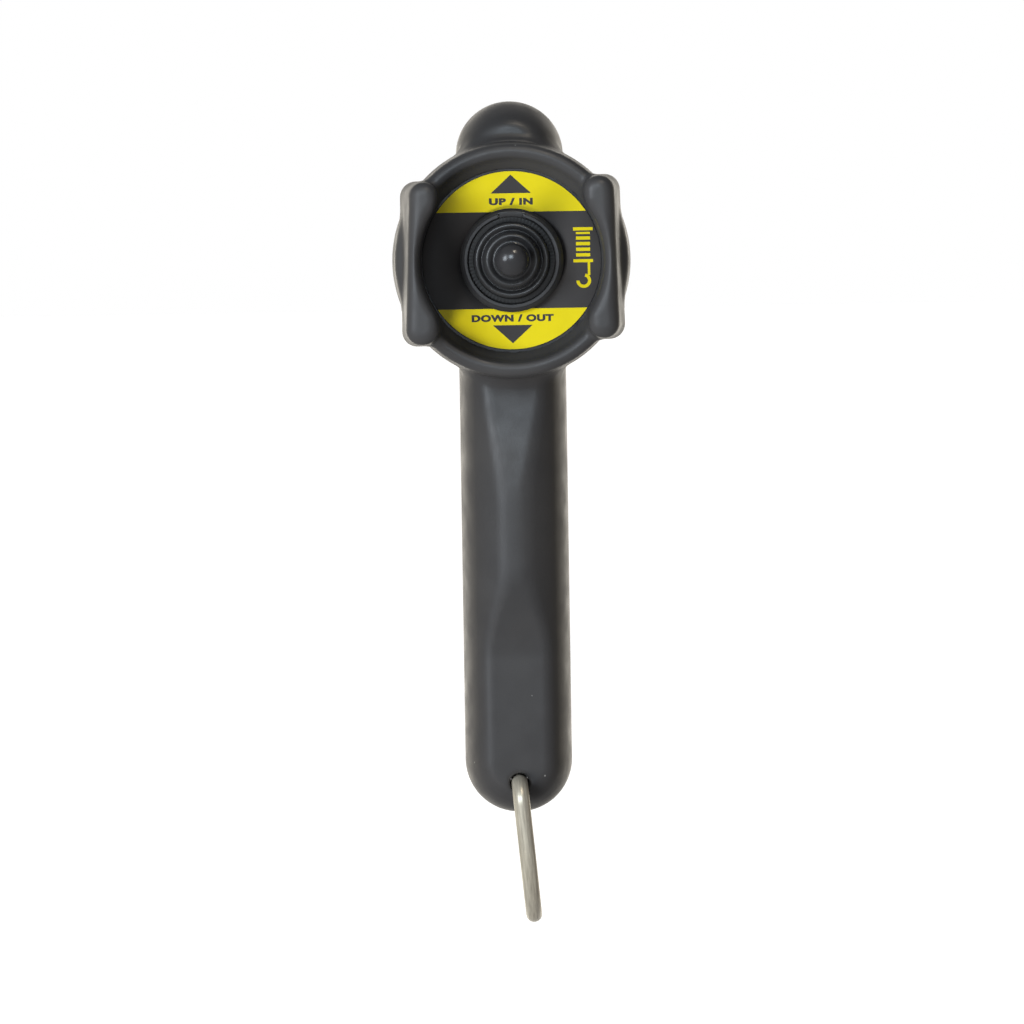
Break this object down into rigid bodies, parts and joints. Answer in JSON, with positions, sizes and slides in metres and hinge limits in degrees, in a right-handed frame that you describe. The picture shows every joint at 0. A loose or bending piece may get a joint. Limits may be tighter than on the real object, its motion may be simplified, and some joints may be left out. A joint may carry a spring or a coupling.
{
  "type": "winch remote control",
  "caption": "Hand-held winch control: capsule-shaped grip, round head with a spring-centred up and down joystick between rubber guard ears, and a swinging steel hanging ring.",
  "frame": {"origin": "centre of the hand grip, on the plane where the two housing halves meet", "axes": "+Z along the grip towards the head, -Y the front with the joystick, +X the user's right"},
  "size_m": [0.0684, 0.078, 0.2382],
  "materials": {
    "grip_shell": "soft-touch, fine grain",
    "guard_rubber": "matt",
    "seal_rubber": "matt",
    "boot_rubber": "satin",
    "black_plastic": "satin",
    "knob_plastic": "gloss",
    "legend_print": "printed, satin",
    "ring_steel": "drawn wire, satin",
    "screw_steel": "zinc plated",
    "spring_steel": "bright",
    "contact_metal": "plated",
    "board_green": "solder mask",
    "component_black": "moulded",
    "cell_metal": "printed can",
    "lead_red": "insulation",
    "lead_black": "insulation",
    "lead_blue": "insulation"
  },
  "bodies": {
    "body": {"front_housing": "grip_shell", "rear_housing": "grip_shell", "housing_seal": "seal_rubber", "housing_screws": "screw_steel", "ring_bushing": "black_plastic", "battery_door": "grip_shell", "door_seal": "seal_rubber", "door_screws": "screw_steel", "battery_tray": "black_plastic", "battery_cells": "cell_metal", "battery_contacts": "spring_steel", "circuit_board": "board_green", "board_screws": "screw_steel", "board_components": "component_black", "antenna_coil": "contact_metal", "antenna_lead": "lead_blue", "battery_lead_red": "lead_red", "battery_lead_black": "lead_black", "switch_leads": "lead_blue", "panel_plate": "black_plastic", "panel_screws": "screw_steel", "legend_plate": "legend_print", "guard_boot": "guard_rubber", "bezel_gasket": "seal_rubber", "joystick_bezel": "black_plastic", "boot_clamp_ring": "black_plastic", "joystick_boot": "boot_rubber", "mounting_nut": "screw_steel", "joystick_base": "black_plastic", "pivot_pin": "screw_steel", "contact_block_up": "black_plastic", "contact_block_down": "black_plastic", "contact_terminals": "contact_metal", "plunger_spring_up": "spring_steel", "plunger_spring_down": "spring_steel"},
    "lever": {"joystick_lever": "black_plastic", "lever_knob": "knob_plastic"},
    "push_rod_up": {"plunger_up": "black_plastic"},
    "push_rod_down": {"plunger_down": "black_plastic"},
    "ring": {"hang_ring": "ring_steel"}
  },
  "joints": [
    {"name": "lever_tilt", "type": "hinge", "parent": "body", "child": "lever", "pos_m": [0, -0.023, 0.09], "axis": [-1, 0, 0], "range_deg": [-13, 13], "stiffness_Nm_per_rad": 0.3, "deforming": ["joystick_boot"]},
    {"name": "push_up", "type": "slide", "parent": "body", "child": "push_rod_up", "axis": [0, 1, 0], "range_m": [-0.00125, 0.00125], "deforming": ["plunger_spring_up"]},
    {"name": "push_down", "type": "slide", "parent": "body", "child": "push_rod_down", "axis": [0, 1, 0], "range_m": [-0.00125, 0.00125], "deforming": ["plunger_spring_down"]},
    {"name": "ring_swing", "type": "hinge", "parent": "body", "child": "ring", "pos_m": [0, 0, -0.0604], "axis": [0, 1, 0], "range_deg": [-144, 155]}
  ],
  "couplings": [
    {"joint": "push_up", "follows": "lever_tilt", "m_per_rad": 0.0053},
    {"joint": "push_down", "follows": "lever_tilt", "m_per_rad": -0.0053}
  ]
}
